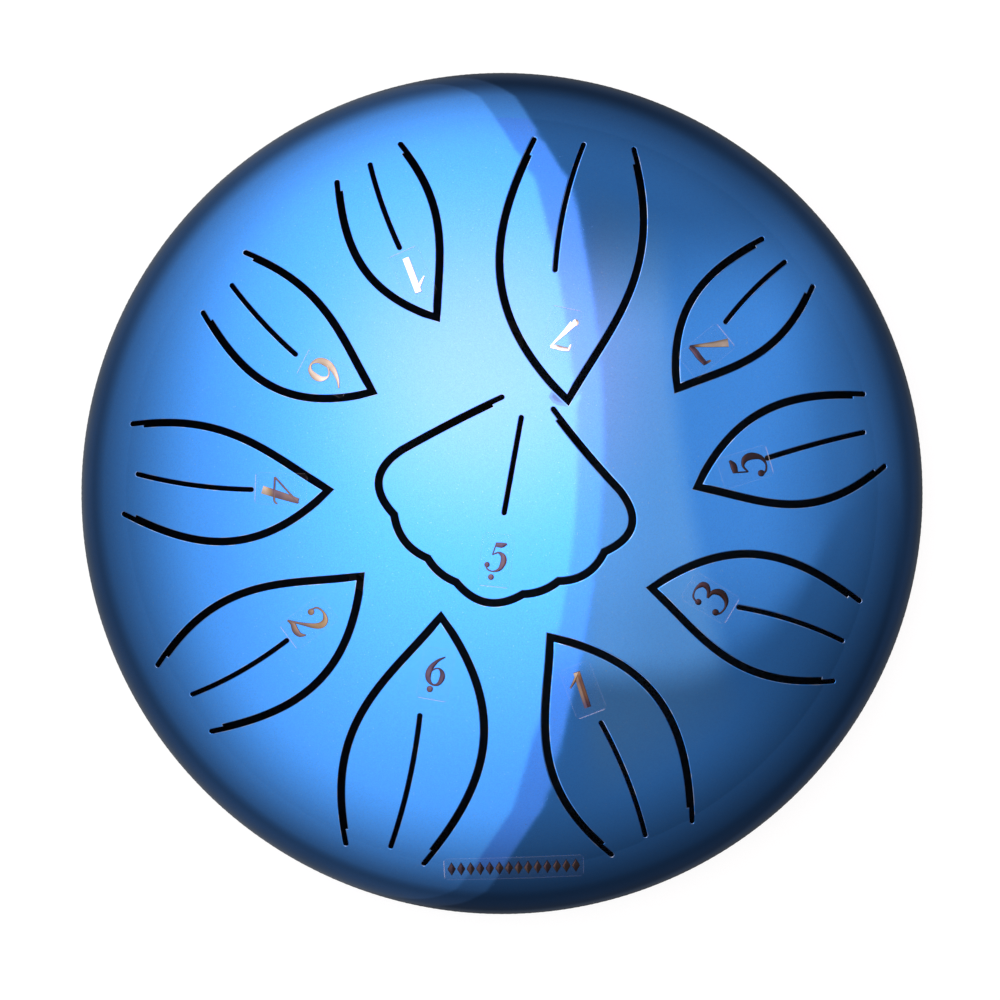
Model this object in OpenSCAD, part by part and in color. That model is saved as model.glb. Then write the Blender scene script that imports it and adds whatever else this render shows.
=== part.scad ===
// Steel tongue drum: two pressed steel bowls welded rim to rim, with eleven tongues cut in the upper one.
// +Z is up, the feet stand on z = 0, and the player sits on the -Y side.

/* [Bowls] */
// Outer diameter of both bowls at the rim
drum_d = 254; // [248:1:260]
// Height of one bowl from the rim to its crown
bowl_h = 70; // [67:0.5:73]
// Outer radius of the bowl's shoulder, between its crown and its rim
shoulder_r = 85; // [80:1:90]
// Outer radius of the rounded rim
knuckle_r = 42; // [40:0.5:44]
// Thickness of the sheet steel
sheet_t = 1.5; // [1.2:0.1:1.8]
// Diameter of the sound hole in the bottom
sound_hole_d = 60; // [50:1:66]

/* [Seam] */
// Depth of the groove that the weld fills
weld_depth = 1; // [0.6:0.1:1.1]
// Height of the weld bead over the sheet
weld_crown = 0.4; // [0.2:0.1:0.6]

/* [Tongues] */
// Width of the slots round the tongues
slot_w = 2.1; // [1.8:0.1:2.6]
// Width of the fine cut that ends each slot
kerf_w = 1.4; // [1:0.1:1.7]
// Width of the tuning slit down each tongue
slit_w = 1.3; // [0.8:0.1:1.8]

/* [Stickers] */
// Width of a clear sticker
sticker_w = 9.2; // [8:0.1:11]
// Length of a clear sticker
sticker_l = 15.2; // [14:0.1:17]
// Corner radius of the stickers
sticker_r = 1.2; // [0.6:0.1:2]
// Length of the clear film on the rim
rim_film_l = 41; // [36:1:44]
// Width of the clear film on the rim
rim_film_w = 7; // [5:0.5:8]
// Thickness of the clear film
film_t = 0.15; // [0.1:0.05:0.3]

/* [Feet] */
// Distance of each foot's axis from the drum's axis, on the outside of the bowl
foot_circle_r = 50; // [47:1:56]
// Length of a rubber foot along its axis, from the bowl to the ground
foot_l = 11.25; // [10:0.25:13]
// Diameter of a rubber foot at the bowl
foot_top_d = 22; // [20:0.5:25]
// Diameter of a rubber foot at the ground
foot_sole_d = 19; // [17:0.5:20]
// Diameter of the recess for the screw head
foot_recess_d = 11.5; // [11:0.1:12.5]
// Thickness of the rubber under the screw head
foot_floor_t = 3.6; // [3:0.1:4]

/* [Fasteners] */
// Shank diameter of the foot screws
screw_d = 5; // [4:0.1:5.2]
// Length of the screw shank under the head
screw_l = 12; // [11.5:0.1:14]
// Diameter of the screw head
screw_head_d = 9.5; // [8.5:0.1:10]
// Height of the screw head
screw_head_h = 3.4; // [2.5:0.1:3.7]
// Length of the cross recess in the screw head
cross_l = 5.2; // [4:0.1:6]
// Width of the cross recess
cross_w = 1.1; // [0.8:0.1:1.4]
// Depth of the cross recess
cross_depth = 1.8; // [1:0.1:2.2]
// Diameter of the screw holes in the foot, the sheet and the washers
screw_hole_d = 5.3; // [5.3:0.1:5.8]
// Outer diameter of the washer in the foot
cup_washer_d = 10; // [9:0.1:10.9]
// Outer diameter of the washer inside the bowl
inner_washer_d = 14; // [12:0.5:18]
// Thickness of the washers
washer_t = 1; // [0.8:0.1:1.2]
// Width of the nut across its flats
nut_flats = 8; // [7:0.1:9]
// Height of the nut
nut_h = 4; // [3:0.1:4.5]
// Gap between the screw's shank and the bore of the nut
thread_gap = 0.05; // [0.02:0.01:0.1]

/* [Hidden] */
$fn = 144;
// The crown's circle is far larger than the rest, so it has more sides
crown_fn = 4 * $fn;

// Every cut runs this far past the faces that it goes through
overrun = 1;
// Radius of the drum at the rim
rim_r = drum_d / 2;

// A bowl's section is three arcs that meet with one tangent: the rim up to this angle, then the shoulder, then
// the crown, whose radius follows from the bowl's height
knuckle_a = 40;
knuckle_c = [rim_r - knuckle_r, 0];
shoulder_c = knuckle_c - (shoulder_r - knuckle_r) * [cos(knuckle_a), sin(knuckle_a)];
shoulder_rise = bowl_h - shoulder_c.y;
crown_r = (pow(shoulder_c.x, 2) + pow(shoulder_rise, 2) - pow(shoulder_r, 2)) / (2 * (shoulder_rise - shoulder_r));
crown_drop = crown_r - bowl_h;
crown_a = atan2(shoulder_c.y + crown_drop, shoulder_c.x);
// The feet stand square to the lower bowl, so their length and tilt set the height of the seam over the ground
foot_tilt = asin(foot_circle_r / crown_r);
seam_z = (crown_r + foot_l) * cos(foot_tilt) - crown_drop;
// Each arc is drawn this much inside the next, so that they cross cleanly
blend = 0.005;
// The turned faces of the bowls start at this bearing, between two tongues
seam_az = 159.5;

// The weld's groove meets the outer face at this height, where the bead ends
weld_reach = knuckle_r - weld_depth;
weld_edge = (sqrt(2 * pow(knuckle_r, 2) - pow(weld_reach, 2)) - weld_reach) / 2;
weld_edge_r = rim_r - weld_depth + weld_edge;
weld_bulge = rim_r + weld_crown - weld_edge_r;
weld_r = (pow(weld_edge, 2) + pow(weld_bulge, 2)) / (2 * weld_bulge);

// Steps along one side of a tongue, along one lobe, round the end of a cut and round one corner of a sticker
side_steps = 16;
lobe_steps = 8;
cap_steps = 4;
corner_steps = 5;

// Each ring tongue is a leaf that leans to one side: its tip, then the roots of its full side and its lean
// side, and the two ends of its slit, each as a share of the rim's radius and a bearing in degrees
ring_names = ["high_1", "low_7", "7", "5", "3", "1", "low_6", "2", "4", "6"];
tip_shares = [
    [0.418, 110.3], [0.253, 54.5], [0.456, 30.8], [0.436, 1.9], [0.394, -32.4],
    [0.337, -71.5], [0.305, -116.5], [0.364, -149.7], [0.386, 178.8], [0.366, 141.8]];
full_root_shares = [
    [0.810, 117.6], [0.818, 84.5], [0.840, 44.1], [0.867, 15.1], [0.863, -17.0],
    [0.877, -60.2], [0.875, -102.2], [0.868, -141.0], [0.876, -177.2], [0.802, 148.5]];
lean_root_shares = [
    [0.839, 106.5], [0.850, 69.4], [0.862, 34.0], [0.888, 4.4], [0.881, -29.2],
    [0.873, -72.8], [0.888, -113.7], [0.892, -153.2], [0.870, 169.6], [0.809, 137.1]];
slit_in_shares = [
    [0.595, 112.6], [0.511, 76.5], [0.632, 37.4], [0.598, 7.5], [0.587, -25.8],
    [0.557, -66.7], [0.527, -110.4], [0.582, -145.7], [0.559, 179.1], [0.555, 146.1]];
slit_out_shares = [
    [0.816, 111.8], [0.826, 76.8], [0.844, 39.3], [0.847, 9.6], [0.858, -23.4],
    [0.857, -67.3], [0.856, -107.5], [0.853, -147.1], [0.842, 176.9], [0.783, 142.3]];
// How far each side and slit bows out at its middle, as a share of the side's own length
full_bow_shares = [0.174, 0.193, 0.180, 0.174, 0.189, 0.201, 0.202, 0.191, 0.186, 0.198];
lean_bow_shares = [0.112, 0.126, 0.121, 0.146, 0.134, 0.150, 0.146, 0.140, 0.106, 0.105];
slit_bow_shares = [0.024, 0.039, 0.032, 0.013, 0.037, 0.032, 0.028, 0.035, 0.029, 0.025];
// How far the outer corner of a slot may stand off its middle, as a share of half the slot's width
blunt_share = 1.3;
// How the fullest place of a side moves from its middle towards the tip or the root
full_skew_shares = [0.08, -0.32];
lean_skew_shares = [3.41, -2.23];

// The middle tongue: its left root, then the start of each lobe, then the right root, as plan shares of the
// rim's radius, and how far each stretch between them bows out
mid_outline_shares = [
    [0.006, 0.214], [-0.224, 0.096], [-0.240, -0.047], [-0.165, -0.144], [-0.102, -0.197],
    [0.047, -0.224], [0.126, -0.195], [0.228, -0.130], [0.262, 0.007], [0.109, 0.190]];
mid_bow_shares = [0.010, 0.295, 0.140, 0.085, 0.213, 0.085, 0.157, 0.320, -0.015];
mid_slit_shares = [[0.044, 0.174], [0.004, -0.048]];

// Middle of each numeral as a share and a bearing, and the way that its top points
sticker_names = ["low_5", "low_6", "low_7", "1", "2", "3", "4", "5", "6", "7", "high_1"];
sticker_shares = [
    [0.149, -94.9], [0.430, -110.1], [0.381, 69.5], [0.476, -67.6], [0.521, -146.3], [0.523, -26.7],
    [0.496, 178.8], [0.550, 6.2], [0.478, 145.6], [0.560, 34.9], [0.530, 112.2]];
sticker_tops = [84, 80, -102, 111, 37, 149, -2, 197, -27, 219, -66];
rim_film_share = 0.862;
rim_film_az = -88.2;

// Three feet to the turn, whose axes start from the centre of the lower bowl's crown
foot_count = 3;
foot_first_az = 90;
low_centre_z = seam_z + crown_drop;
foot_reach = foot_l + foot_top_d * tan(foot_tilt);
foot_top_sag = crown_r - sqrt(pow(crown_r, 2) - pow(foot_top_d / 2, 2));

// The edge of the washer inside lies on the crown's hollow, or on the shoulder's where it reaches that far.
// Both places are measured along the foot's axis from the crown's centre.
shoulder_turn = 90 - crown_a - foot_tilt;
shoulder_at = (crown_r - shoulder_r) * [cos(shoulder_turn), sin(shoulder_turn)];
crown_seat = sqrt(pow(crown_r - sheet_t, 2) - pow(inner_washer_d / 2, 2));
shoulder_seat = shoulder_at.x + sqrt(pow(shoulder_r - sheet_t, 2) - pow(inner_washer_d / 2 - shoulder_at.y, 2));
on_shoulder = asin(inner_washer_d / 2 / (crown_r - sheet_t)) > shoulder_turn;
inner_washer_z = (on_shoulder ? shoulder_seat : crown_seat) - crown_r - washer_t;

function polar(share) = rim_r * share[0] * [cos(share[1]), sin(share[1])];
function unit(v) = v / norm(v);
function left_of(v) = [-v.y, v.x];
function reversed(list) = [for (i = [len(list) - 1:-1:0]) list[i]];

// How far a bowed side stands off its straight line, as a share of its bow, at the share t of the way
function lift(t, skew) = 4 * t * (1 - t) * (1 + skew[0] * t + skew[1] * t * t) / (1 + skew[0] / 2 + skew[1] / 4);

// A path from a to b that bows to its left
function bowed(a, b, bow, skew, steps) = [
    for (i = [0:steps])
        let (t = i / steps)
            a + (b - a) * t + left_of(b - a) * bow * lift(t, skew)];

// The direction of a path before and after its point i
function ahead(path, i) = unit(path[min(i + 1, len(path) - 1)] - path[min(i, len(path) - 2)]);
function behind(path, i) = unit(path[max(i, 1)] - path[max(i - 1, 0)]);

// The point beside point i of a path, which is further off at a corner, but blunted on its outer side
function offset_point(path, i, d) =
    let (
        mid = unit(ahead(path, i) + behind(path, i)),
        stretch = 1 / (mid * ahead(path, i)),
        outer = left_of(behind(path, i)) * ahead(path, i) * d < 0)
        path[i] + left_of(mid) * d * (outer ? min(stretch, blunt_share) : stretch);

// The points of a round end between the right and the left wall of a cut that heads the way given
function cap(p, way, r) = [
    for (k = [1:cap_steps - 1])
        let (a = atan2(way.y, way.x) - 90 + 180 * k / cap_steps)
            p + r * [cos(a), sin(a)]];

// A path with both ends drawn in, to leave room for its round ends
function drawn_in(path, d) =
    let (last = len(path) - 1)
        [for (i = [0:last]) path[i] + (i == 0 ? d * ahead(path, 0) : i == last ? -d * behind(path, last) : [0, 0])];

// The outline of a slit of one width along a path, with round ends
function slit_outline(whole, w) =
    let (path = drawn_in(whole, w / 2), last = len(path) - 1)
        concat(
            [for (i = [0:last]) offset_point(path, i, -w / 2)],
            cap(path[last], behind(path, last), w / 2),
            [for (i = [last:-1:0]) offset_point(path, i, w / 2)],
            cap(path[0], -ahead(path, 0), w / 2));

// The outline of a slot along a path that has its tongue on the left. Its first and last steps are fine cuts,
// which carry on the outer wall and step in on the side of the tongue.
function slot_outline(whole) =
    let (
        path = drawn_in(whole, kerf_w / 2),
        last = len(path) - 1,
        inside = kerf_w - slot_w / 2,
        middle = (kerf_w - slot_w) / 2)
        concat(
            [for (i = [0:last]) offset_point(path, i, -slot_w / 2)],
            cap(offset_point(path, last, middle), behind(path, last), kerf_w / 2),
            [offset_point(path, last, inside), offset_point(path, last - 1, inside)],
            [for (i = [last - 1:-1:1]) offset_point(path, i, slot_w / 2)],
            [offset_point(path, 1, inside), offset_point(path, 0, inside)],
            cap(offset_point(path, 0, middle), -ahead(path, 0), kerf_w / 2));

// The two sides of ring tongue i as one path, from the full side's root to the tip to the lean side's root
function ring_path(i) =
    let (
        tip = polar(tip_shares[i]),
        full = bowed(tip, polar(full_root_shares[i]), full_bow_shares[i], full_skew_shares, side_steps),
        lean = bowed(tip, polar(lean_root_shares[i]), -lean_bow_shares[i], lean_skew_shares, side_steps))
        concat(reversed(full), [for (k = [1:side_steps]) lean[k]]);

function ring_slit(i) =
    bowed(polar(slit_in_shares[i]), polar(slit_out_shares[i]), slit_bow_shares[i], [0, 0], lobe_steps);

// The middle tongue's outline, where each stretch ends as the next begins
function mid_stretch(k) =
    bowed(rim_r * mid_outline_shares[k], rim_r * mid_outline_shares[k + 1], -mid_bow_shares[k], [0, 0], lobe_steps);
mid_path = concat(
    [rim_r * mid_outline_shares[0]],
    [for (k = [0:len(mid_bow_shares) - 1], i = [1:lobe_steps]) mid_stretch(k)[i]]);

function rounded_outline(l, w, r) = [
    for (quarter = [0:3], i = [0:corner_steps])
        let (
            corner = [quarter == 0 || quarter == 3 ? 1 : -1, quarter < 2 ? 1 : -1],
            a = 90 * (quarter + i / corner_steps))
            [corner.x * (l / 2 - r), corner.y * (w / 2 - r)] + r * [cos(a), sin(a)]];

// What a bowl's section holds inside one of its arcs, and all that lies before the ray where the arc begins
module inside_arc(centre, r, ray_a) {
    far = drum_d * [cos(ray_a), sin(ray_a)];
    translate(centre) {
        circle(r = r);
        polygon([-far, far, far + drum_d * [-sin(ray_a), cos(ray_a)], drum_d * [-sin(ray_a), cos(ray_a)] - far]);
    }
}

// Half of a bowl's section, filled, at a distance from its outer face
module filled_section(grow) {
    intersection() {
        square([drum_d, drum_d]);
        translate([0, -crown_drop]) circle(r = crown_r - 2 * blend + grow, $fn = crown_fn);
        inside_arc(shoulder_c, shoulder_r - blend + grow, crown_a);
        inside_arc(knuckle_c, knuckle_r + grow, knuckle_a);
    }
}

// Half of a bowl's section between two distances from its outer face
module section(inner, outer) {
    difference() {
        filled_section(outer);
        filled_section(inner);
    }
}

// The groove that both rims leave for the weld
module weld_groove() {
    wide = weld_depth + overrun;
    translate([rim_r - weld_depth, 0]) polygon([[0, 0], [wide, -wide], [wide, wide]]);
}

module bowl() {
    rotate(seam_az) rotate_extrude() difference() {
        section(-sheet_t, 0);
        weld_groove();
    }
}

// A cut straight down through the upper bowl
module plan_cut() {
    linear_extrude(bowl_h + overrun) children();
}

module upper_shell() {
    color("dodgerblue") translate([0, 0, seam_z]) difference() {
        bowl();
        for (i = [0:len(ring_names) - 1]) {
            plan_cut() polygon(slot_outline(ring_path(i)));
            plan_cut() polygon(slit_outline(ring_slit(i), slit_w));
        }
        plan_cut() polygon(slot_outline(mid_path));
        plan_cut() polygon(slit_outline([for (share = mid_slit_shares) rim_r * share], slit_w));
    }
}

module lower_shell() {
    color("royalblue") difference() {
        translate([0, 0, seam_z]) mirror([0, 0, 1]) bowl();
        cylinder(d = sound_hole_d, h = seam_z);
        for (i = [0:foot_count - 1])
            at_foot(i) translate([0, 0, -sheet_t - overrun]) cylinder(d = screw_hole_d, h = sheet_t + 2 * overrun);
    }
}

module seam_weld() {
    color("midnightblue") translate([0, 0, seam_z]) rotate_extrude() intersection() {
        weld_groove();
        translate([rim_r + weld_crown - weld_r, 0]) circle(r = weld_r);
    }
}

// A clear film on the upper bowl, with a rounded outline seen from above
module film(at, turn, l, w) {
    translate([0, 0, seam_z]) intersection() {
        rotate(seam_az) rotate_extrude() section(0, film_t);
        translate(at) rotate(turn) plan_cut() polygon(rounded_outline(l, w, sticker_r));
    }
}

module sticker(i) {
    color("lightcyan") film(polar(sticker_shares[i]), sticker_tops[i], sticker_l, sticker_w);
}

module rim_film() {
    color("lightcyan") film(polar([rim_film_share, rim_film_az]), rim_film_az + 90, rim_film_l, rim_film_w);
}

// Places its children on foot axis i, with +Z away from the bowl and zero on its outer face
module at_foot(i) {
    rotate(foot_first_az + 360 * i / foot_count) translate([0, 0, low_centre_z])
        rotate([0, 180 - foot_tilt, 0]) translate([0, 0, crown_r]) children();
}

// A cone of rubber, hollowed to fit the bowl and cut off flat at the ground
module foot(i) {
    slope = (foot_sole_d - foot_top_d) / foot_l / 2;
    back = foot_top_sag + overrun;
    back_r = foot_top_d / 2 - slope * back;
    far_r = foot_top_d / 2 + slope * foot_reach;
    color("dimgray") intersection() {
        at_foot(i) difference() {
            translate([0, 0, -back]) cylinder(r1 = back_r, r2 = far_r, h = back + foot_reach);
            translate([0, 0, -crown_r]) rotate_extrude() intersection() {
                circle(r = crown_r, $fn = crown_fn);
                translate([0, crown_r - back - overrun]) square([foot_top_d, back + 2 * overrun]);
            }
            translate([0, 0, foot_floor_t]) cylinder(d = foot_recess_d, h = foot_reach);
            translate([0, 0, -back]) cylinder(d = screw_hole_d, h = back + foot_reach);
        }
        translate([-rim_r, -rim_r, 0]) cube([drum_d, drum_d, seam_z]);
    }
}

// A pan head screw with a cross recess
module foot_screw(i) {
    dome_r = (pow(screw_head_d / 2, 2) + pow(screw_head_h, 2)) / screw_head_h / 2 + screw_head_h / 2;
    color("silver") at_foot(i) translate([0, 0, foot_floor_t + washer_t]) difference() {
        union() {
            translate([0, 0, -screw_l]) cylinder(d = screw_d, h = screw_l);
            intersection() {
                cylinder(d = screw_head_d, h = screw_head_h);
                translate([0, 0, screw_head_h - dome_r]) sphere(r = dome_r);
            }
        }
        for (turn = [0, 90])
            rotate(turn) translate([-cross_l / 2, -cross_w / 2, screw_head_h - cross_depth])
                cube([cross_l, cross_w, cross_depth + overrun]);
    }
}

module washer(outer_d) {
    difference() {
        cylinder(d = outer_d, h = washer_t);
        translate([0, 0, -overrun]) cylinder(d = screw_hole_d, h = washer_t + 2 * overrun);
    }
}

module foot_cup_washer(i) {
    color("silver") at_foot(i) translate([0, 0, foot_floor_t]) washer(cup_washer_d);
}

module foot_inner_washer(i) {
    color("silver") at_foot(i) translate([0, 0, inner_washer_z]) washer(inner_washer_d);
}

module foot_nut(i) {
    color("silver") at_foot(i) translate([0, 0, inner_washer_z - nut_h]) difference() {
        cylinder(d = nut_flats / cos(30), h = nut_h, $fn = 6);
        translate([0, 0, -overrun]) cylinder(d = screw_d + 2 * thread_gap, h = nut_h + 2 * overrun);
    }
}

upper_shell();
lower_shell();
seam_weld();
rim_film();
for (i = [0:len(sticker_names) - 1])
    sticker(i);
for (i = [0:foot_count - 1]) {
    foot(i);
    foot_screw(i);
    foot_cup_washer(i);
    foot_inner_washer(i);
    foot_nut(i);
}
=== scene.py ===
# %% [markdown]
# # A steel tongue drum
# The drum is two pressed steel bowls, welded rim to rim and sprayed in a pearl blue, with a paler blue painted
# on the crown as a highlight and a navy painted at the rim as shade. Eleven tongues are cut in the upper bowl.
# Each carries a clear sticker with a foil numeral.
# The imported model is the fixed frame, and everything here is built round it in metres. The exact solids are
# plain and sharp. The scene replaces those that need a finer form, such as softened edges, a rippled weld and
# foil, and dresses the others where they stand.

import math

import bmesh
import bpy
import numpy as np
from mathutils import Matrix, Vector, geometry, kdtree


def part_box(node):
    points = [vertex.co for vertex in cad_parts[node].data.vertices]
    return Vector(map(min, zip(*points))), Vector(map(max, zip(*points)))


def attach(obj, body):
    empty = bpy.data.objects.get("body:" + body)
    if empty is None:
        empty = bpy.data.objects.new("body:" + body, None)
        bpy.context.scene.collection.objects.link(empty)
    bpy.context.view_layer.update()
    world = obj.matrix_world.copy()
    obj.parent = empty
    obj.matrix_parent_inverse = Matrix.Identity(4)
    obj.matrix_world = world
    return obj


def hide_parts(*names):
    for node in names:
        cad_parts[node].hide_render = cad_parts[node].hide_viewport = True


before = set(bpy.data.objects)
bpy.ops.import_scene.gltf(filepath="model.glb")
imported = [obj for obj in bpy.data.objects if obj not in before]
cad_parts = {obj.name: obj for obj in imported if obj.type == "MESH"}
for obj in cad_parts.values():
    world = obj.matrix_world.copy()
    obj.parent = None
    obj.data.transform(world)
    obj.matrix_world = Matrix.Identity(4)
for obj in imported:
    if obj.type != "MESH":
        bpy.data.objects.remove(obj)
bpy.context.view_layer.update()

# %% [markdown]
# ## The bowls' section
# A bowl is three arcs that meet with one tangent: a shallow crown, a rounder shoulder and the rim's bend.
# The lower bowl is the same bowl upside down. The radius of the crown follows from the bowl's height.

# %% Sizes of the bowls
MM = 0.001
rim_r = 127 * MM
bowl_h = 70 * MM
shoulder_r = 85 * MM
bend_r = 42 * MM
bend_a = math.radians(40)
sheet_t = 1.5 * MM
seam_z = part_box("upper_shell")[0].z

bend_x = rim_r - bend_r
shoulder_x = bend_x - (shoulder_r - bend_r) * math.cos(bend_a)
shoulder_z = -(shoulder_r - bend_r) * math.sin(bend_a)
rise = bowl_h - shoulder_z
crown_r = (shoulder_x**2 + rise**2 - shoulder_r**2) / (2 * (rise - shoulder_r))
crown_z = bowl_h - crown_r
crown_reach = crown_r * shoulder_x / (crown_r - shoulder_r)
print(f"crown radius {crown_r / MM:.1f} mm out to {crown_reach / MM:.1f} mm, seam at {seam_z / MM:.1f} mm")

# %% [markdown]
# ## Formulas as nodes
# Geometry trees and shader trees both do arithmetic with Math nodes. A small class lets the script write
# them as formulas, with Python's own signs, so that a tree reads like the rule that it follows.

# %% A number inside a node tree
class Field:
    """A number in a node tree. Each sum with it adds a Math node."""

    def __init__(self, tree, socket):
        self.tree = tree
        self.socket = socket

    def math(self, operation, *values):
        node = self.tree.nodes.new("ShaderNodeMath")
        node.operation = operation
        for value, socket in zip(values, node.inputs):
            if isinstance(value, Field):
                self.tree.links.new(value.socket, socket)
            else:
                socket.default_value = value
        return Field(self.tree, node.outputs[0])

    def __add__(self, other):
        return self.math("ADD", self, other)

    def __radd__(self, other):
        return self.math("ADD", other, self)

    def __sub__(self, other):
        return self.math("SUBTRACT", self, other)

    def __rsub__(self, other):
        return self.math("SUBTRACT", other, self)

    def __mul__(self, other):
        return self.math("MULTIPLY", self, other)

    def __rmul__(self, other):
        return self.math("MULTIPLY", other, self)

    def __truediv__(self, other):
        return self.math("DIVIDE", self, other)

    def __rtruediv__(self, other):
        return self.math("DIVIDE", other, self)

    def __pow__(self, other):
        return self.math("POWER", self, other)

    def above(self, other):
        return self.math("GREATER_THAN", self, other)

    def least(self, other):
        return self.math("MINIMUM", self, other)

    def most(self, other):
        return self.math("MAXIMUM", self, other)

    def root(self):
        return self.math("SQRT", self.most(0.0))

    def sine(self):
        return self.math("SINE", self)

    def ramp(self, low, high):
        """Runs smoothly from 0 at low to 1 at high."""
        node = self.tree.nodes.new("ShaderNodeMapRange")
        node.interpolation_type = "SMOOTHSTEP"
        self.tree.links.new(self.socket, node.inputs["Value"])
        node.inputs["From Min"].default_value = low
        node.inputs["From Max"].default_value = high
        return Field(self.tree, node.outputs["Result"])


def node_of(tree, kind, settings=None, **values):
    """A node with its settings made and its inputs linked or set. Spaces in socket names are underscores."""
    node = tree.nodes.new(kind)
    for name, value in (settings or {}).items():
        setattr(node, name, value)
    for name, value in values.items():
        socket = node.inputs[name.replace("_", " ")]
        if isinstance(value, Field):
            tree.links.new(value.socket, socket)
        elif isinstance(value, bpy.types.NodeSocket):
            tree.links.new(value, socket)
        else:
            socket.default_value = value
    return node


def new_tree(name, kind, inputs, outputs):
    """A node group with named sockets, and its input and output nodes."""
    tree = bpy.data.node_groups.new(name, kind)
    for label, socket_type, value in inputs:
        socket = tree.interface.new_socket(label, in_out="INPUT", socket_type="NodeSocket" + socket_type)
        if value is not None:
            socket.default_value = value
    for label, socket_type in outputs:
        tree.interface.new_socket(label, in_out="OUTPUT", socket_type="NodeSocket" + socket_type)
    return tree, tree.nodes.new("NodeGroupInput"), tree.nodes.new("NodeGroupOutput")


def parts_of(tree, vector):
    """The three parts of a vector socket."""
    split = node_of(tree, "ShaderNodeSeparateXYZ", Vector=vector)
    return [Field(tree, split.outputs[i]) for i in range(3)]


# %% [markdown]
# ## The press
# Real bowls and their stickers start flat. Here too each piece is first drawn flat, with its place seen from
# above as x and y, and its distance from the bowl's outer face as z. One geometry tree then lifts the flat
# piece on to the bowl, so shells, films and foil all follow the same surface exactly. It also notes how deep
# in the sheet each point lies, which the paint reads later.

# %% The press as a geometry tree
def make_press():
    """The tree that lifts a flat piece on to a bowl, with the bowl's sizes as its inputs."""
    sizes = {
        "Crown Radius": crown_r, "Crown Centre": crown_z, "Shoulder Radius": shoulder_r,
        "Shoulder Out": shoulder_x, "Shoulder Up": shoulder_z, "Bend Radius": bend_r, "Bend Out": bend_x,
        "Bend Angle": bend_a, "Seam Height": seam_z, "Way Up": 1.0}
    inputs = [("Flat Piece", "Geometry", None)]
    inputs += [(name, "Float", value) for name, value in sizes.items()]
    inputs += [("Material", "Material", None)]
    tree, given, result = new_tree("press_on_bowl", "GeometryNodeTree", inputs, [("Pressed", "Geometry")])
    size = {name: Field(tree, given.outputs[name]) for name in sizes}
    x, y, off = parts_of(tree, tree.nodes.new("GeometryNodeInputPosition").outputs["Position"])
    r = (x * x + y * y).root()
    crown = ((size["Crown Radius"] + off) ** 2 - r * r).root() + size["Crown Centre"]
    beyond = r - size["Shoulder Out"]
    shoulder = ((size["Shoulder Radius"] + off) ** 2 - beyond * beyond).root() + size["Shoulder Up"]
    outward = r - size["Bend Out"]
    bend = ((size["Bend Radius"] + off) ** 2 - outward * outward).root()
    crown_end = (size["Crown Radius"] + off) * size["Shoulder Out"] / (
        size["Crown Radius"] - size["Shoulder Radius"])
    cosine = size["Bend Angle"].math("COSINE", size["Bend Angle"])
    shoulder_end = size["Bend Out"] + (size["Bend Radius"] + off) * cosine
    height = crown + r.above(crown_end) * (shoulder - crown)
    height = height + r.above(shoulder_end) * (bend - height)
    z = size["Seam Height"] + size["Way Up"] * height
    place = node_of(tree, "ShaderNodeCombineXYZ", X=x, Y=y, Z=z)
    noted = node_of(tree, "GeometryNodeStoreNamedAttribute", {"data_type": "FLOAT", "domain": "POINT"},
                    Geometry=given.outputs["Flat Piece"], Name="depth", Value=off * (-1 / sheet_t))
    lifted = node_of(tree, "GeometryNodeSetPosition", Geometry=noted.outputs[0], Position=place.outputs[0])
    turned = node_of(tree, "GeometryNodeFlipFaces", Mesh=lifted.outputs[0],
                     Selection=(0.0 - size["Way Up"]).above(0.0).socket)
    real = node_of(tree, "GeometryNodeRealizeInstances", Geometry=turned.outputs[0])
    finished = node_of(tree, "GeometryNodeSetMaterial", Geometry=real.outputs[0],
                       Material=given.outputs["Material"])
    tree.links.new(finished.outputs[0], result.inputs[0])
    return tree


press = make_press()
print("press:", len(press.nodes), "nodes")

# %% [markdown]
# A tree is run by a modifier. Its inputs are set by their identifiers, the evaluated object is turned into a
# plain mesh, and the modifier goes with the object that carried it.

# %% Run a tree and keep its mesh
def grow(tree, name, mesh, **values):
    """The plain mesh that a geometry tree makes of a mesh, with the tree's inputs set."""
    source = bpy.data.objects.new(name + "_flat", mesh)
    bpy.context.scene.collection.objects.link(source)
    modifier = source.modifiers.new("grow", "NODES")
    modifier.node_group = tree
    for item in tree.interface.items_tree:
        key = item.name.replace(" ", "_")
        if item.in_out == "INPUT" and key in values:
            modifier[item.identifier] = values[key]
    bpy.context.view_layer.update()
    seen = source.evaluated_get(bpy.context.evaluated_depsgraph_get())
    made = bpy.data.meshes.new_from_object(seen)
    source.modifiers.remove(modifier)
    bpy.data.objects.remove(source)
    made.name = name
    return made


def piece_of(name, mesh, replaced=()):
    """A finished piece of the drum, which rides on its only body."""
    piece = bpy.data.objects.new(name, mesh)
    bpy.context.scene.collection.objects.link(piece)
    mesh.polygons.foreach_set("use_smooth", [True] * len(mesh.polygons))
    mesh.set_sharp_from_angle(angle=math.radians(38))
    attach(piece, "root")
    if replaced:
        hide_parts(*replaced)
    mesh.calc_loop_triangles()
    print(f"{name}: {len(mesh.loop_triangles)} triangles")
    return piece


# %% [markdown]
# ## Flat pieces
# A flat piece is drawn with complex numbers, because turning, scaling and stepping sideways are then plain
# sums. Closed rows of points are stitched with quads, and wide faces are filled with even triangles by a
# constrained Delaunay triangulation, which keeps the outlines of the cuts as they are.

# %% Close a mesh and turn its faces outwards
merge_distance = 0.001 * MM


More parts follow.
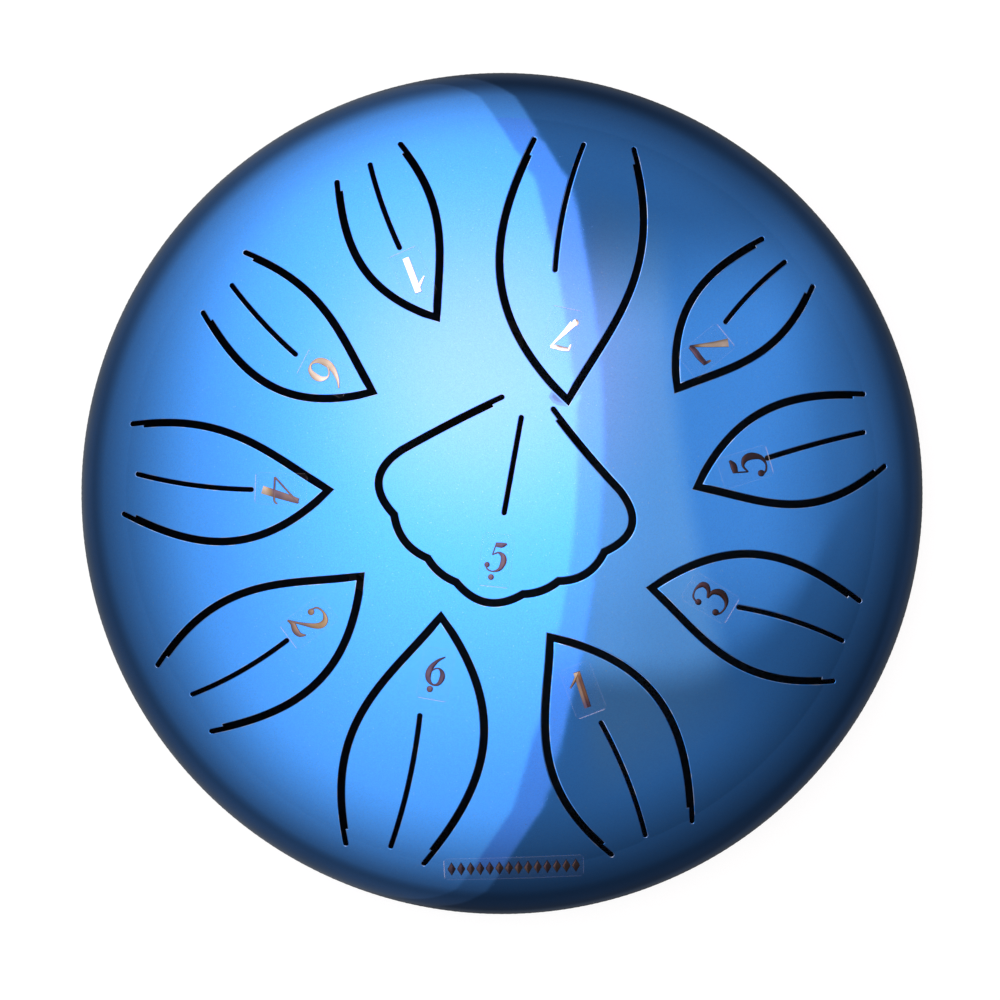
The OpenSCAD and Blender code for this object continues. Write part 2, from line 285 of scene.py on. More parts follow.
def closed(mesh):
    """Merges doubled points, turns all faces outwards and counts the edges that stay open."""
    shape = bmesh.new()
    shape.from_mesh(mesh)
    bmesh.ops.remove_doubles(shape, verts=shape.verts, dist=merge_distance)
    bmesh.ops.recalc_face_normals(shape, faces=shape.faces)
    open_edges = sum(not edge.is_manifold for edge in shape.edges)
    shape.to_mesh(mesh)
    shape.free()
    print(f"{mesh.name}: {len(mesh.vertices)} points, {open_edges} open edges")


# %% A flat piece in the making
class Flat:
    """Points as (x, y, distance from the outer face), and faces as lists of their numbers."""

    def __init__(self):
        self.points = []
        self.faces = []

    def add(self, points, off):
        """Adds points at one or more distances from the outer face, and gives their numbers."""
        start = len(self.points)
        self.points += [(p.real, p.imag, z) for p, z in zip(points, np.broadcast_to(off, len(points)))]
        return np.arange(start, len(self.points))

    def stitch(self, rows):
        """Joins closed rows of (points, distance) with quads, each to the next."""
        numbers = [self.add(points, off) for points, off in rows]
        for a, b in zip(numbers, numbers[1:]):
            ends = zip(a, np.roll(a, -1), np.roll(b, -1), b)
            self.faces += [[int(i) for i in quad] for quad in ends]
        return numbers

    def close(self, numbers):
        """Covers one closed row with a face."""
        self.faces.append([int(i) for i in numbers])

    def fill(self, outlines, off, step):
        """Fills the first outline, less the others, with triangles of about one size."""
        seeds = [p for outline in outlines for p in outline]
        near = kdtree.KDTree(len(seeds))
        for i, p in enumerate(seeds):
            near.insert((p.real, p.imag, 0), i)
        near.balance()
        points = list(seeds)
        edge = max(abs(p) for p in outlines[0])
        middle = outlines[0].mean()
        reach = max(abs(outlines[0] - middle))
        for i in range(int(reach / step) + 1):
            count = max(1, round(2 * math.pi * i))
            turn = (i % 2) * math.pi / count
            bearings = turn + np.linspace(0, 2 * math.pi, count, endpoint=False)
            ring = middle + i * step * np.exp(1j * bearings)
            points += [p for p in ring if near.find((p.real, p.imag, 0))[2] > step * 0.9 and abs(p) < edge]
        loops = []
        start = 0
        for outline in outlines:
            loops.append(list(range(start, start + len(outline))))
            start += len(outline)
        flat = [Vector((p.real, p.imag)) for p in points]
        spots, _, faces, _, _, inside = geometry.delaunay_2d_cdt(flat, [], loops, 0, 1e-9, True)
        kept = [face for face, owners in zip(faces, inside) if list(owners) == [0]]
        used = sorted({i for face in kept for i in face})
        number = dict(zip(used, self.add([complex(*spots[i]) for i in used], off)))
        self.faces += [[int(number[i]) for i in face] for face in kept]

    def mesh(self, name):
        """The flat piece as one closed mesh whose faces point outwards."""
        mesh = bpy.data.meshes.new(name)
        mesh.from_pydata(self.points, [], self.faces)
        closed(mesh)
        return mesh


# %% [markdown]
# ## Where the cuts run
# Each ring tongue is a leaf that leans to one side. Its tip, its two roots and the ends of its tuning slit
# are shares of the rim's radius with a bearing in degrees, as in the construction, and a bow bends each side.
# The middle tongue is a scallop of lobes. The drawing here has three steps for each of the construction's,
# but one at a leaf's tip, where finer steps would cross on the inside of the corner.

# %% The tongues in shares of the rim's radius
ring_names = ["high_1", "low_7", "7", "5", "3", "1", "low_6", "2", "4", "6"]
tip_shares = [
    (0.418, 110.3), (0.253, 54.5), (0.456, 30.8), (0.436, 1.9), (0.394, -32.4),
    (0.337, -71.5), (0.305, -116.5), (0.364, -149.7), (0.386, 178.8), (0.366, 141.8)]
full_root_shares = [
    (0.810, 117.6), (0.818, 84.5), (0.840, 44.1), (0.867, 15.1), (0.863, -17.0),
    (0.877, -60.2), (0.875, -102.2), (0.868, -141.0), (0.876, -177.2), (0.802, 148.5)]
lean_root_shares = [
    (0.839, 106.5), (0.850, 69.4), (0.862, 34.0), (0.888, 4.4), (0.881, -29.2),
    (0.873, -72.8), (0.888, -113.7), (0.892, -153.2), (0.870, 169.6), (0.809, 137.1)]
slit_in_shares = [
    (0.595, 112.6), (0.511, 76.5), (0.632, 37.4), (0.598, 7.5), (0.587, -25.8),
    (0.557, -66.7), (0.527, -110.4), (0.582, -145.7), (0.559, 179.1), (0.555, 146.1)]
slit_out_shares = [
    (0.816, 111.8), (0.826, 76.8), (0.844, 39.3), (0.847, 9.6), (0.858, -23.4),
    (0.857, -67.3), (0.856, -107.5), (0.853, -147.1), (0.842, 176.9), (0.783, 142.3)]
full_bow_shares = [0.174, 0.193, 0.180, 0.174, 0.189, 0.201, 0.202, 0.191, 0.186, 0.198]
lean_bow_shares = [0.112, 0.126, 0.121, 0.146, 0.134, 0.150, 0.146, 0.140, 0.106, 0.105]
slit_bow_shares = [0.024, 0.039, 0.032, 0.013, 0.037, 0.032, 0.028, 0.035, 0.029, 0.025]
full_skew_shares = (0.08, -0.32)
lean_skew_shares = (3.41, -2.23)
mid_outline_shares = [
    0.006 + 0.214j, -0.224 + 0.096j, -0.240 - 0.047j, -0.165 - 0.144j, -0.102 - 0.197j,
    0.047 - 0.224j, 0.126 - 0.195j, 0.228 - 0.130j, 0.262 + 0.007j, 0.109 + 0.190j]
mid_bow_shares = [0.010, 0.295, 0.140, 0.085, 0.213, 0.085, 0.157, 0.320, -0.015]
mid_slit_shares = [0.044 + 0.174j, 0.004 - 0.048j]
blunt_share = 1.3

# %% The cuts' sizes
slot_w = 2.1 * MM
kerf_w = 1.4 * MM
slit_w = 1.3 * MM
finer = 3
side_steps = 16 * finer
lobe_steps = 8 * finer
cap_steps = 8

# %% Paths that bow
def polar(place):
    """The place seen from above of a share of the rim's radius with a bearing."""
    share, bearing = place
    return rim_r * share * np.exp(1j * math.radians(bearing))


def bowed(a, b, bow, skew=(0, 0), steps=lobe_steps):
    """A path from a to b that bows to its left."""
    t = np.linspace(0, 1, steps + 1)
    rise_share = 4 * t * (1 - t) * (1 + skew[0] * t + skew[1] * t * t) / (1 + skew[0] / 2 + skew[1] / 4)
    return a + (b - a) * t + 1j * (b - a) * bow * rise_share


def directions(path):
    """The direction of a path before and after each of its points."""
    steps = np.diff(path)
    steps = steps / abs(steps)
    return np.append(steps[:1], steps), np.append(steps, steps[-1:])


def sidestep(path, behind, ahead, distance, blunt=blunt_share):
    """The points beside a path, further off at a corner but blunted on its outer side."""
    middle = behind + ahead
    middle = middle / abs(middle)
    stretch = 1 / (middle.conj() * ahead).real
    outer = ((1j * behind).conj() * ahead).real * distance < 0
    stretch = np.where(outer, np.minimum(stretch, blunt), stretch)
    return path + 1j * middle * distance * stretch


def beside(path, distance):
    """The points at one distance to the left of a path, or to its right where the distance is negative."""
    return sidestep(path, *directions(path), distance)


def cap(middle, way, radius):
    """The points of a round end between the right and the left wall of a cut that heads the way given."""
    turns = np.arange(1, cap_steps) / cap_steps * math.pi - math.pi / 2
    return middle + radius * way * np.exp(1j * turns)


def drawn_in(path, distance):
    """A path whose two ends are drawn in, to leave room for its round ends."""
    behind, ahead = directions(path)
    path = path.copy()
    path[0] += distance * ahead[0]
    path[-1] -= distance * behind[-1]
    return path


def slit_outline(path, width):
    """A fine cut with two round ends."""
    path = drawn_in(path, width / 2)
    behind, ahead = directions(path)
    return np.concatenate([
        beside(path, -width / 2), cap(path[-1], behind[-1], width / 2),
        beside(path, width / 2)[::-1], cap(path[0], -ahead[0], width / 2)])


def slot_outline(path):
    """A slot with its tongue on the left, whose ends are fine cuts along the outer wall."""
    path = drawn_in(path, kerf_w / 2)
    behind, ahead = directions(path)
    inside = beside(path, kerf_w - slot_w / 2)
    middle = beside(path, (kerf_w - slot_w) / 2)
    return np.concatenate([
        beside(path, -slot_w / 2), cap(middle[-1], behind[-1], kerf_w / 2),
        inside[:-finer - 2:-1], beside(path, slot_w / 2)[finer:-finer][::-1],
        inside[finer::-1], cap(middle[0], -ahead[0], kerf_w / 2)])


# %% The outlines of all the cuts
slot_paths = []
slit_paths = []
for i in range(len(ring_names)):
    tip = polar(tip_shares[i])
    full = bowed(tip, polar(full_root_shares[i]), full_bow_shares[i], full_skew_shares, side_steps)
    lean = bowed(tip, polar(lean_root_shares[i]), -lean_bow_shares[i], lean_skew_shares, side_steps)
    slot_paths.append(np.concatenate([full[:finer - 1:-1], [tip], lean[finer:]]))
    slit_paths.append(bowed(polar(slit_in_shares[i]), polar(slit_out_shares[i]), slit_bow_shares[i]))
corners = [rim_r * share for share in mid_outline_shares]
stretches = [bowed(a, b, -bow)[1:] for a, b, bow in zip(corners, corners[1:], mid_bow_shares)]
slot_paths.append(np.concatenate([corners[:1], *stretches]))
slit_paths.append(bowed(*[rim_r * share for share in mid_slit_shares], 0))
cut_outlines = [slot_outline(path) for path in slot_paths]
cut_outlines += [slit_outline(path, slit_w) for path in slit_paths]
print(len(cut_outlines), "cuts of", sum(map(len, cut_outlines)), "points")

# %% [markdown]
# ## The upper bowl
# Sheet steel has thickness, and its cut edges are softened by the paint, so each cut gets a rounded lip that
# catches the light. A narrow row outside each lip keeps its slope out of the even face. The rim is finished
# with rings of points down the bend to the seam, and both faces end in the groove that holds the weld.

# %% Rims and lips
lip_r = 0.24 * MM
lip_guard = 0.15 * MM
outer_grain = 1.75 * MM
inner_grain = 4 * MM
outer_rings = 26
inner_rings = 12
weld_depth = 1 * MM
weld_crown = 0.4 * MM
rim_points = 480
turn_points = np.exp(2j * math.pi * np.arange(rim_points) / rim_points)
weld_reach = bend_r - weld_depth
weld_edge = (math.sqrt(2 * bend_r**2 - weld_reach**2) - weld_reach) / 2


def bend_rings(depth, low_a, count):
    """Rings round the rim's bend, from where the shoulder ends down to an angle over the seam."""
    angles = np.linspace(bend_a, low_a, count)
    return [(turn_points * (bend_x + (bend_r - depth) * math.cos(a)), -depth) for a in angles]


def rim_rows():
    """The section of the rim: down the outer face, into the weld's groove and up the inner face."""
    outer = bend_rings(0, math.asin(weld_edge / bend_r), outer_rings)
    groove = [(turn_points * (rim_r - weld_depth), -weld_depth)]
    inner = bend_rings(sheet_t, 0, inner_rings)
    return outer, groove + inner[::-1]


def grown(outline, distance):
    """An outline drawn a little larger, away from the cut that it goes round."""
    steps = np.roll(outline, -1) - outline
    ahead = steps / abs(steps)
    return sidestep(outline, np.roll(ahead, 1), ahead, -distance, blunt=2.0)


# %% Draw the upper bowl flat and press it
def upper_bowl(material):
    """The bowl with the tongues: its rim, a lip and a wall round each cut, and its two faces."""
    flat = Flat()
    outer, inner = rim_rows()
    flat.stitch(outer + inner)
    lips = []
    for outline in cut_outlines:
        angles = np.radians([0, 30, 60, 90])
        rows = [(grown(outline, lip_r + lip_guard), 0)]
        rows += [(grown(outline, lip_r * (1 - math.sin(a))), -lip_r * (1 - math.cos(a))) for a in angles]
        flat.stitch(rows + [(outline, -sheet_t)])
        lips.append(rows[0][0])
    flat.fill([outer[0][0], *lips], 0, outer_grain)
    flat.fill([inner[-1][0], *cut_outlines], -sheet_t, inner_grain)
    mesh = grow(press, "upper_bowl", flat.mesh("upper_bowl_flat"), Material=material)
    return piece_of("upper_bowl", mesh, ["upper_shell"])


# %% [markdown]
# ## The lower bowl
# The lower bowl has no tongues, only a round sound hole with a turned lip, so it is all rings: along the
# hole's lip, out over the face, round the rim and back along the inside. The same press turns it over.

# %% Draw the lower bowl flat and press it upside down
sound_hole_r = 30 * MM
hole_lip = 0.6 * MM
outer_face_rings = 44
inner_face_rings = 24


def lower_bowl(material):
    """The plain bowl: one closed set of rings from the sound hole's lip to the rim and back."""
    flat = Flat()
    outer, inner = rim_rows()
    angles = np.radians([0, 22, 45, 68, 90])
    lip = [(turn_points * (sound_hole_r + hole_lip * (1 - math.sin(a))), -hole_lip * (1 - math.cos(a)))
           for a in angles]
    radii = np.linspace(sound_hole_r + hole_lip, abs(outer[0][0][0]), outer_face_rings)[1:-1]
    back = np.linspace(abs(inner[-1][0][0]), sound_hole_r, inner_face_rings)[1:]
    rows = lip[::-1] + [(turn_points * r, 0) for r in radii] + outer + inner
    rows += [(turn_points * r, -sheet_t) for r in back]
    flat.stitch(rows + rows[:1])
    mesh = grow(press, "lower_bowl", flat.mesh("lower_bowl_flat"), Material=material, Way_Up=-1.0)
    return piece_of("lower_bowl", mesh, ["lower_shell"])


# %% [markdown]
# ## The weld
# A weld bead is swept round the seam by a geometry tree: its section goes along a circle, and a slow ripple
# with some noise sinks its face here and there, as a bead looks once it is ground and painted over.

# %% The weld's tree and piece
ripple_depth = 0.12 * MM
ripples = 380.0


def make_bead_tree():
    """The tree that sweeps a section round the seam and ripples its outer face."""
    inputs = [
        ("Section", "Geometry", None), ("Ring Radius", "Float", rim_r), ("Ripple Depth", "Float", 0.1 * MM),
        ("Ripples", "Float", 300.0), ("Material", "Material", None)]
    tree, given, result = new_tree("weld_bead", "GeometryNodeTree", inputs, [("Bead", "Geometry")])
    ring = node_of(tree, "GeometryNodeCurvePrimitiveCircle", Resolution=rim_points * 2,
                   Radius=given.outputs["Ring Radius"])
    section = node_of(tree, "GeometryNodeMeshToCurve", Mesh=given.outputs["Section"])
    swept = node_of(tree, "GeometryNodeCurveToMesh", Curve=ring.outputs[0], Profile_Curve=section.outputs[0])
    position = tree.nodes.new("GeometryNodeInputPosition").outputs["Position"]
    x, y, z = parts_of(tree, position)
    noise = node_of(tree, "ShaderNodeTexNoise", Vector=position, Scale=90.0, Detail=2.0)
    wander = Field(tree, noise.outputs[0])
    bearing = x.math("ARCTAN2", y, x)
    ripple = (bearing * Field(tree, given.outputs["Ripples"]) + wander * 9.0).sine() * 0.5 + 0.5
    r = (x * x + y * y).root()
    outer = r.above(Field(tree, given.outputs["Ring Radius"]))
    sink = outer * (ripple * 0.6 + wander * 0.4) * Field(tree, given.outputs["Ripple Depth"])
    offset = node_of(tree, "ShaderNodeCombineXYZ", X=0.0 - x / r * sink, Y=0.0 - y / r * sink, Z=0.0)
    moved = node_of(tree, "GeometryNodeSetPosition", Geometry=swept.outputs[0], Offset=offset.outputs[0])
    real = node_of(tree, "GeometryNodeRealizeInstances", Geometry=moved.outputs[0])
    done = node_of(tree, "GeometryNodeSetMaterial", Geometry=real.outputs[0],
                   Material=given.outputs["Material"])
    tree.links.new(done.outputs[0], result.inputs[0])
    return tree


def weld_bead(material):
    """The bead's section is the groove's two walls and an arc that stands over the sheet."""
    edge_r = rim_r - weld_depth + weld_edge
    bulge = rim_r + weld_crown - edge_r
    arc_r = (weld_edge**2 + bulge**2) / (2 * bulge)
    spread = math.asin(weld_edge / arc_r)
    arc = [rim_r + weld_crown - arc_r + arc_r * np.exp(1j * a) for a in np.linspace(-spread, spread, 9)]
    points = [complex(rim_r - weld_depth, 0)] + arc
    count = len(points)
    section = bpy.data.meshes.new("weld_section")
    section.from_pydata([(p.real - edge_r, p.imag, 0) for p in points],
                        [(i, (i + 1) % count) for i in range(count)], [])
    bead = grow(make_bead_tree(), "weld_bead", section, Ring_Radius=edge_r, Ripple_Depth=ripple_depth,
                Ripples=ripples, Material=material)
    bead.transform(Matrix.Translation((0, 0, seam_z)))
    closed(bead)
    return piece_of("weld_bead", bead, ["seam_weld"])


# %% [markdown]
# ## Clear stickers
# A sticker is a thin clear film with rounded corners. It bends with the bowl, so it is drawn flat at its own
# place and pressed on with the same tree as the steel. Its edge is a soft step that shows as a fine line, with
# a painted highlight along it.

# %% Where the stickers sit
sticker_names = ["low_5", "low_6", "low_7", "1", "2", "3", "4", "5", "6", "7", "high_1"]
sticker_shares = [
    (0.149, -94.9), (0.430, -110.1), (0.381, 69.5), (0.476, -67.6), (0.521, -146.3), (0.523, -26.7),
    (0.496, 178.8), (0.550, 6.2), (0.478, 145.6), (0.560, 34.9), (0.530, 112.2)]
sticker_tops = [84, 80, -102, 111, 37, 149, -2, 197, -27, 219, -66]
sticker_w = 9.2 * MM
sticker_l = 15.2 * MM
sticker_r = 1.2 * MM
film_t = 0.15 * MM
film_gap = 0.02 * MM
film_edge_r = film_t * 0.8
film_top_grain = 0.9 * MM
film_back_grain = 1.2 * MM
rim_film_place = (0.862, -88.2)
rim_film_l = 41 * MM
rim_film_w = 7 * MM


def rounded_outline(length, width, radius):
    """A rectangle with round corners, its length along the real axis."""
    corner = radius * np.exp(1j * np.linspace(0, math.pi / 2, 9))
    middle = complex(length / 2 - radius, width / 2 - radius)
    first = corner + middle
    second = (corner * 1j) - middle.conjugate()
    half = np.concatenate([subdivided(first, second), subdivided(second, -first)])
    return np.concatenate([half, -half])


def subdivided(row, following):
    """A row of points, followed by even points on the way to the next row."""
    gap = following[0] - row[-1]
    count = max(2, round(abs(gap) / (0.8 * MM)))
    return np.concatenate([row, row[-1] + gap * np.arange(1, count) / count])


def film(name, place, turn, length, width, material, replaced):
    """A clear film on the bowl with its length along the way given."""
    way = np.exp(1j * math.radians(turn))
    middle = polar(place)

    def outline(inset):
        shape = rounded_outline(length - 2 * inset, width - 2 * inset, max(sticker_r - inset, 0.2 * MM))
        return middle + way * shape

    flat = Flat()
    rows = [(outline(0), film_gap)]
    for a in np.radians([0, 30, 60, 90]):
        rows.append((outline(film_edge_r * (1 - math.cos(a))), film_t - film_edge_r * (1 - math.sin(a))))
    flat.stitch(rows)
    flat.fill([rows[-1][0]], film_t, film_top_grain)
    flat.fill([rows[0][0]], film_gap, film_back_grain)
    mesh = grow(press, name, flat.mesh(name + "_flat"), Material=material)
    layer = mesh.uv_layers.new(name="film")
    for loop in mesh.loops:
        x, y, _ = mesh.vertices[loop.vertex_index].co
        at = (complex(x, y) - middle) / way
        layer.uv[loop.index].vector = (at.real / length + 0.5, at.imag / width + 0.5)
    return piece_of(name, mesh, [replaced])


# %% [markdown]
# ## Foil numerals
# The numerals have strong stems and hairlines, slanted a little. Each is a few strokes of a broad pen: a row
# of places in millimetres from the sticker's middle, each with the pen's width there, joined by a smooth
# curve. Balls end the curls, and a dot under a numeral marks the lower octave.

# %% The numerals' pen strokes and tones
glyphs = {
    "1": [[(0.5, 5.3, 2.0), (0.3, 2.0, 2.0), (-0.1, -5.4, 2.0)],
          [(0.9, 5.2, 0.5), (-0.9, 3.2, 0.8), (-2.8, 1.6, 0.35)]],
    "2": [[(-2.5, 2.5, 0.5), (-1.9, 4.4, 0.5), (0.2, 5.1, 0.6), (2.2, 4.3, 1.5), (2.8, 2.7, 1.9),
           (1.9, 0.8, 1.5), (-0.7, -1.8, 0.8), (-3.0, -3.8, 0.5), (-4.1, -4.7, 0.4)],
          [(-4.1, -4.7, 0.4), (-2.5, -4.1, 1.3), (-0.5, -4.6, 1.8), (1.2, -4.4, 1.3), (2.4, -3.1, 0.4)]],
    "3": [[(-2.8, 2.6, 0.5), (-1.9, 4.5, 0.5), (0.2, 5.1, 0.5), (2.2, 4.3, 1.4), (2.7, 3.0, 1.7),
           (1.8, 1.6, 1.1), (-0.1, 0.8, 0.45)],
          [(-0.1, 0.8, 0.45), (1.9, 0.4, 1.2), (3.0, -1.1, 1.9), (3.0, -2.7, 1.9), (1.9, -4.4, 1.3),
           (0.1, -5.1, 0.5), (-1.9, -4.7, 0.5), (-2.9, -3.5, 0.5)]],
    "4": [[(3.8, 5.2, 0.5), (0.3, 1.7, 0.5), (-3.3, -1.9, 0.5)],
          [(-3.3, -1.9, 0.5), (0.5, -1.9, 0.5), (3.4, -1.8, 0.5), (4.3, -1.0, 0.3)],
          [(3.3, 5.2, 1.6), (2.0, 0.5, 2.1), (0.4, -5.4, 2.3)]],
    "5": [[(-0.7, 4.3, 1.5), (1.4, 4.3, 1.8), (3.1, 4.9, 0.6)],
          [(-0.5, 4.9, 0.4), (-1.0, 2.8, 0.4), (-1.5, 0.7, 0.4)],
          [(-1.5, 0.7, 0.4), (0.5, 1.6, 0.7), (2.2, 0.5, 1.8), (2.5, -1.5, 2.1), (1.4, -4.0, 1.3),
           (-0.7, -5.0, 0.5), (-2.6, -4.5, 0.5), (-3.5, -3.1, 0.5)]],
    "6": [[(2.2, 5.3, 0.4), (0.0, 3.7, 1.0), (-2.0, 1.0, 1.8), (-2.6, -1.5, 2.1), (-2.1, -3.7, 1.5),
           (-0.4, -5.0, 0.6), (1.4, -4.4, 1.2), (2.3, -2.3, 1.9), (2.1, -0.4, 1.5), (0.8, 0.9, 0.6),
           (-0.7, 0.6, 0.4), (-2.0, -0.8, 0.4)]],
    "7": [[(-2.1, 3.1, 1.3), (0.5, 3.3, 1.6), (2.5, 3.2, 1.6), (4.4, 3.5, 1.1)],
          [(-1.9, 3.6, 0.9), (-2.2, 2.3, 0.8), (-2.4, 1.3, 0.5)],
          [(4.4, 3.5, 0.7), (3.0, 1.2, 0.9), (0.6, -2.4, 1.6), (-1.6, -6.0, 2.4)]]}
glyph_balls = {
    "2": [(-2.0, 2.3, 0.95)],
    "3": [(-2.4, 2.5, 0.9), (-2.4, -3.4, 0.95)],
    "5": [(-3.0, -2.9, 0.95)]}
low_share = 0.82
low_rise = 0.9 * MM
dot_places = {"low_5": (-1.0, -4.85, 0.85), "low_6": (-1.0, -4.6, 0.9), "low_7": (-2.0, -4.5, 0.95)}
foil_t = 0.06 * MM
foil_bevel = 0.1 * MM
hairline = 0.45 * MM

# For each numeral, the foil's painted reflection, from dark to pale, at the foot and at the head, and the share
# of the height where it turns.
foil_painted_reflections = [
    (0.19, 0.15, 0.5), (0.17, 0.12, 0.5), (1.0, 0.97, 0.8), (0.22, 0.6, 0.85), (0.25, 0.36, 0.5),
    (0.03, 0.07, 0.7), (0.62, 0.22, 0.22), (0.04, 0.03, 0.5), (0.58, 0.6, 0.5), (0.68, 0.07, 0.78),
    (1.0, 1.0, 0.5)]
turn_length = 0.2

# Some numerals are printed a little off the middle of their stickers.
print_shifts = {"low_7": (1.1, -0.8), "1": (-0.4, 0.0), "3": (0.0, -0.3), "5": (1.1, 0.3), "7": (0.8, 0.0)}


# %% Draw strokes and balls flat
def smooth_row(row, steps=10):
    """A smooth curve through a row of places."""
    row = np.array([2 * row[0] - row[1], *row, 2 * row[-1] - row[-2]])
    t = (np.arange(steps) / steps)[:, None]
    parts = []
    for a, b, c, d in zip(row, row[1:], row[2:], row[3:]):
        parts.append(b + (c - a) * t / 2 + (2 * a - 5 * b + 4 * c - d) * t**2 / 2
                     + (3 * b - a - 3 * c + d) * t**3 / 2)
    return np.concatenate([*parts, row[-2:-1]])


def add_stroke(flat, row, place):
    """A flat-topped bar along one pen stroke, with sloping sides that catch the light."""
    x, y, width = smooth_row(np.array(row) * MM).T
    path = x + 1j * y
    behind, ahead = directions(path)
    side = 1j * (behind + ahead)
    side = side / abs(side)
    half = np.maximum(width, hairline) / 2
    top = half - np.minimum(foil_bevel, half / 2)
    rows = []
    for i in range(len(path)):
        across = np.array([half[i], top[i], -top[i], -half[i]])
        rows.append((place(path[i] + across * side[i]), [film_t, film_t + foil_t, film_t + foil_t, film_t]))
    numbers = flat.stitch(rows)
    flat.close(numbers[0])
    flat.close(numbers[-1])


def add_ball(flat, x, y, radius, place):
    """A flat-topped round spot, as at the end of a curl."""
    ring = np.exp(2j * math.pi * np.arange(28) / 28)
    middle = complex(x, y) * MM
    numbers = flat.stitch([(place(middle + ring * radius * MM), film_t),
                           (place(middle + ring * (radius * MM - foil_bevel)), film_t + foil_t)])
    flat.close(numbers[0])
    flat.close(numbers[-1])


# %% Print a numeral on its sticker
def shade(mesh, painted_reflection):
    """Notes the foil's painted reflection at each point of a mesh, for the foil's material to read."""
    layer = mesh.attributes.new("painted_reflection", "FLOAT", "POINT")
    layer.data.foreach_set("value", np.broadcast_to(painted_reflection, len(mesh.vertices)))


def numeral(i, material):
    """One sticker's numeral, drawn upright and then turned and pressed into place."""
    name = sticker_names[i]
    glyph = name.split("_")[-1]
    low = name.startswith("low")
    way = np.exp(1j * math.radians(sticker_tops[i] - 90))
    middle = polar(sticker_shares[i]) + complex(*print_shifts.get(name, (0.0, 0.0))) * MM

    def place(points):
        return middle + way * (points * low_share + 1j * low_rise if low else points)

    def place_dot(points):
        return middle + way * points

    flat = Flat()
    for row in glyphs[glyph]:
        add_stroke(flat, row, place)
    for x, y, radius in glyph_balls.get(glyph, []):
        add_ball(flat, x, y, radius, place)
    if low:
        add_ball(flat, *dot_places[name], place_dot)
    mesh = grow(press, "numeral_" + name, flat.mesh("numeral_" + name + "_flat"), Material=material)
    spots = np.array([complex(point.co.x, point.co.y) for point in mesh.vertices])
    height = ((spots - middle) / way).imag
    height_share = (height - height.min()) / (height.max() - height.min())
    foot, head, turn = foil_painted_reflections[i]
    past_turn = np.clip((height_share - turn) / turn_length + 0.5, 0.0, 1.0)
    shade(mesh, foot + (head - foot) * past_turn)
    return piece_of("numeral_" + name, mesh)


# %% [markdown]
# The film near the rim carries a plain row of foil lozenges. A tree sets them out along a line, and hands
# them to the press as one flat piece.

# %% The row of lozenges
lozenges = 14
lozenge_pitch = 2.8 * MM
lozenge_l = 4.2 * MM
lozenge_w = 2.4 * MM
lozenge_slope = 0.86
# The row's foil is painted dark, as a painted reflection.
row_painted_reflection = 0.2


def make_row_tree():
    """The tree that repeats a flat mark along a line and presses the row on to the bowl."""
    inputs = [("Mark", "Geometry", None), ("Marks", "Int", lozenges), ("First", "Vector", (0, 0, 0)),
              ("Step", "Vector", (lozenge_pitch, 0, 0)), ("Material", "Material", None)]
    tree, given, result = new_tree("foil_row", "GeometryNodeTree", inputs, [("Row", "Geometry")])
    line = node_of(tree, "GeometryNodeMeshLine", {"mode": "OFFSET"}, Count=given.outputs["Marks"],
                   Start_Location=given.outputs["First"], Offset=given.outputs["Step"])
    placed = node_of(tree, "GeometryNodeInstanceOnPoints", Points=line.outputs[0],
                     Instance=given.outputs["Mark"])
    real = node_of(tree, "GeometryNodeRealizeInstances", Geometry=placed.outputs[0])
    pressed = node_of(tree, "GeometryNodeGroup", {"node_tree": press}, Flat_Piece=real.outputs[0],
                      Material=given.outputs["Material"])
    done = node_of(tree, "GeometryNodeSetMaterial", Geometry=pressed.outputs[0],
                   Material=given.outputs["Material"])
    tree.links.new(done.outputs[0], result.inputs[0])
    return tree


def foil_row(place, turn, material):
    """The row of lozenges along the middle of the film near the rim."""
    way = np.exp(1j * math.radians(turn))
    step = way * lozenge_pitch
    first = polar(place) - step * (lozenges - 1) / 2
    corners = np.array([lozenge_w, 1j * lozenge_l, -lozenge_w, -1j * lozenge_l]) / 2
    sides = [a + (b - a) * np.arange(6) / 6 for a, b in zip(corners, np.roll(corners, -1))]
    outline = np.concatenate(sides) * way
    flat = Flat()
    numbers = flat.stitch([(outline, film_t), (outline * lozenge_slope, film_t + foil_t)])
    flat.close(numbers[0])
    flat.close(numbers[-1])
    mesh = grow(make_row_tree(), "foil_row", flat.mesh("foil_row_flat"), Marks=lozenges,
                First=(first.real, first.imag, 0.0), Step=(step.real, step.imag, 0.0), Material=material)
    shade(mesh, row_painted_reflection)
    return piece_of("foil_row", mesh)


# %% [markdown]
# ## Rubber feet
# Each foot is a cone of rubber that follows the bowl above and is cut flat at the ground, with a rounded sole
# and a recess for its screw. It is a stack of rings whose heights are worked out at each bearing.

# %% A foot's rings
foot_circle_r = 50 * MM
foot_top_r = 11 * MM
foot_sole_r = 9.5 * MM
foot_recess_r = 5.75 * MM
foot_floor_t = 3.6 * MM
foot_bore_r = 2.65 * MM
foot_tilt = math.asin(foot_circle_r / crown_r)
low_centre_z = seam_z - crown_z
foot_bearings = [90, 210, 330]
foot_edge_r = 0.9 * MM
recess_lip = 0.4 * MM
foot_points = 96
foot_rings = 12
top_rings = 10


